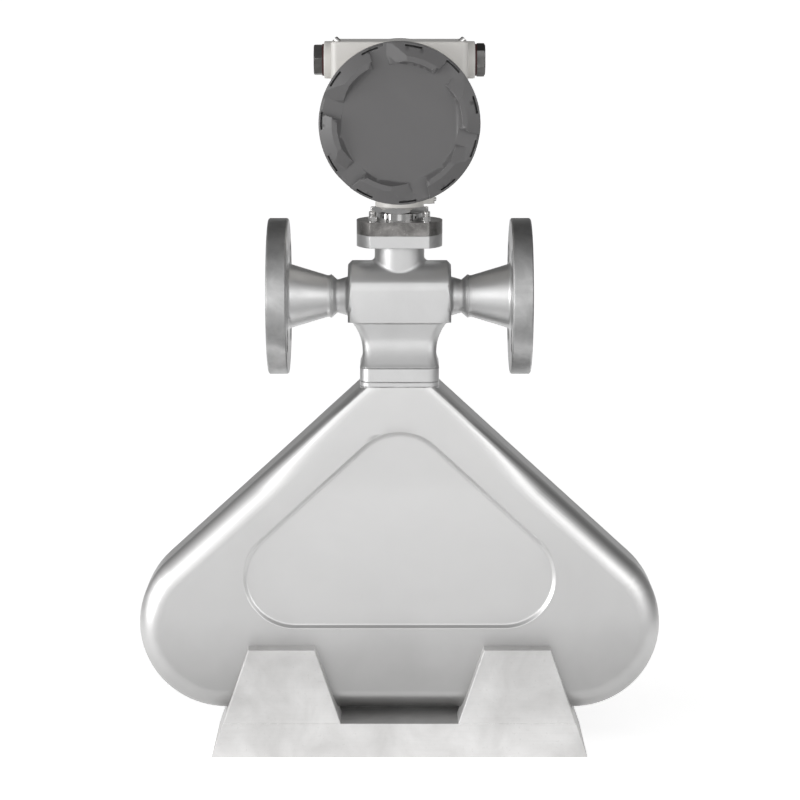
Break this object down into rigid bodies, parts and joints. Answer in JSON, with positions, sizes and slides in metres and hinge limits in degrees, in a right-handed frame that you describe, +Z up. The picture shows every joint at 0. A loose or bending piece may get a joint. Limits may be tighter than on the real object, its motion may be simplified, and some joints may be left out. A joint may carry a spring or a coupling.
{
  "type": "coriolis flow meter",
  "caption": "Compact Coriolis mass flow meter with a rounded triangular case on a cradle, flanged ends and a screw-covered transmitter above.",
  "frame": {"origin": "on the floor under the middle of the flow line", "axes": "+X along the flow line from inlet to outlet, +Z up, -Y is the front"},
  "size_m": [0.419, 0.156, 0.5722],
  "materials": {
    "machined_steel": "machined",
    "cast_steel": "cast, blasted",
    "case_steel": "satin",
    "cradle_steel": "satin",
    "polished_steel": "polished",
    "fastener_steel": "plain",
    "plug_metal": "dark plated",
    "housing_paint": "satin powder coat",
    "cover_paint": "semi-gloss powder coat",
    "seal_rubber": "matte",
    "copper_winding": "varnished wire",
    "magnet_steel": "ground",
    "circuit_board": "lacquered",
    "terminal_plastic": "moulded",
    "terminal_metal": "plated"
  },
  "bodies": {
    "sensor": {"case_collar": "case_steel", "case_front_shell": "case_steel", "case_rear_shell": "case_steel", "case_side_band": "case_steel", "coupling_nipple": "polished_steel", "cradle_base": "cradle_steel", "cradle_ear_front_left": "cradle_steel", "cradle_ear_front_right": "cradle_steel", "cradle_ear_rear_left": "cradle_steel", "cradle_ear_rear_right": "cradle_steel", "drive_coil": "copper_winding", "drive_magnet": "magnet_steel", "feedthrough": "terminal_metal", "flow_tube_front": "machined_steel", "flow_tube_rear": "machined_steel", "head_plate": "cast_steel", "inlet_flange": "machined_steel", "left_braces": "machined_steel", "left_pickoff_coil": "copper_winding", "left_pickoff_magnet": "magnet_steel", "manifold_block": "cast_steel", "neck_plate": "machined_steel", "outlet_flange": "machined_steel", "plate_nuts": "fastener_steel", "plate_seal": "seal_rubber", "plate_studs": "fastener_steel", "plate_washers": "fastener_steel", "right_braces": "machined_steel", "right_pickoff_coil": "copper_winding", "right_pickoff_magnet": "magnet_steel", "temperature_sensor": "machined_steel"},
    "transmitter": {"board_posts": "terminal_metal", "lock_nut": "polished_steel", "lock_screw": "fastener_steel", "main_board": "circuit_board", "power_board": "circuit_board", "terminal_block": "terminal_plastic", "terminal_screws": "terminal_metal", "top_screws": "fastener_steel", "transmitter_housing": "housing_paint"},
    "front_cover_carrier": {"front_cover_seal": "seal_rubber"},
    "front_cover": {"front_cover": "cover_paint"},
    "rear_cover_carrier": {"rear_cover_seal": "seal_rubber"},
    "rear_cover": {"rear_cover": "cover_paint"},
    "left_plug_carrier": {"left_plug_seal": "seal_rubber"},
    "left_plug": {"left_conduit_plug": "plug_metal"},
    "right_plug_carrier": {"right_plug_seal": "seal_rubber"},
    "right_plug": {"right_conduit_plug": "plug_metal"}
  },
  "joints": [
    {"name": "head_turn", "type": "hinge", "parent": "sensor", "child": "transmitter", "pos_m": [0, 0, 0.4384], "axis": [0, 0, 1], "range_deg": [-180, 180]},
    {"name": "front_cover_travel", "type": "slide", "parent": "transmitter", "child": "front_cover_carrier", "axis": [0, -1, 0], "range_m": [0, 0.01202]},
    {"name": "front_cover_turn", "type": "hinge", "parent": "front_cover_carrier", "child": "front_cover", "pos_m": [0, 0, 0.5078], "axis": [0, -1, 0], "range_deg": [0, 2160]},
    {"name": "rear_cover_travel", "type": "slide", "parent": "transmitter", "child": "rear_cover_carrier", "axis": [0, 1, 0], "range_m": [0, 0.01202]},
    {"name": "rear_cover_turn", "type": "hinge", "parent": "rear_cover_carrier", "child": "rear_cover", "pos_m": [0, 0, 0.5078], "axis": [0, 1, 0], "range_deg": [0, 2160]},
    {"name": "left_plug_travel", "type": "slide", "parent": "transmitter", "child": "left_plug_carrier", "axis": [-1, 0, 0], "range_m": [0, 0.01502]},
    {"name": "left_plug_turn", "type": "hinge", "parent": "left_plug_carrier", "child": "left_plug", "pos_m": [0, 0, 0.5531], "axis": [-1, 0, 0], "range_deg": [0, 3600]},
    {"name": "right_plug_travel", "type": "slide", "parent": "transmitter", "child": "right_plug_carrier", "axis": [1, 0, 0], "range_m": [0, 0.01502]},
    {"name": "right_plug_turn", "type": "hinge", "parent": "right_plug_carrier", "child": "right_plug", "pos_m": [0, 0, 0.5531], "axis": [1, 0, 0], "range_deg": [0, 3600]}
  ],
  "couplings": [
    {"joint": "front_cover_travel", "follows": "front_cover_turn", "m_per_rad": 0.00031831},
    {"joint": "rear_cover_travel", "follows": "rear_cover_turn", "m_per_rad": 0.00031831},
    {"joint": "left_plug_travel", "follows": "left_plug_turn", "m_per_rad": 0.00023873},
    {"joint": "right_plug_travel", "follows": "right_plug_turn", "m_per_rad": 0.00023873}
  ]
}
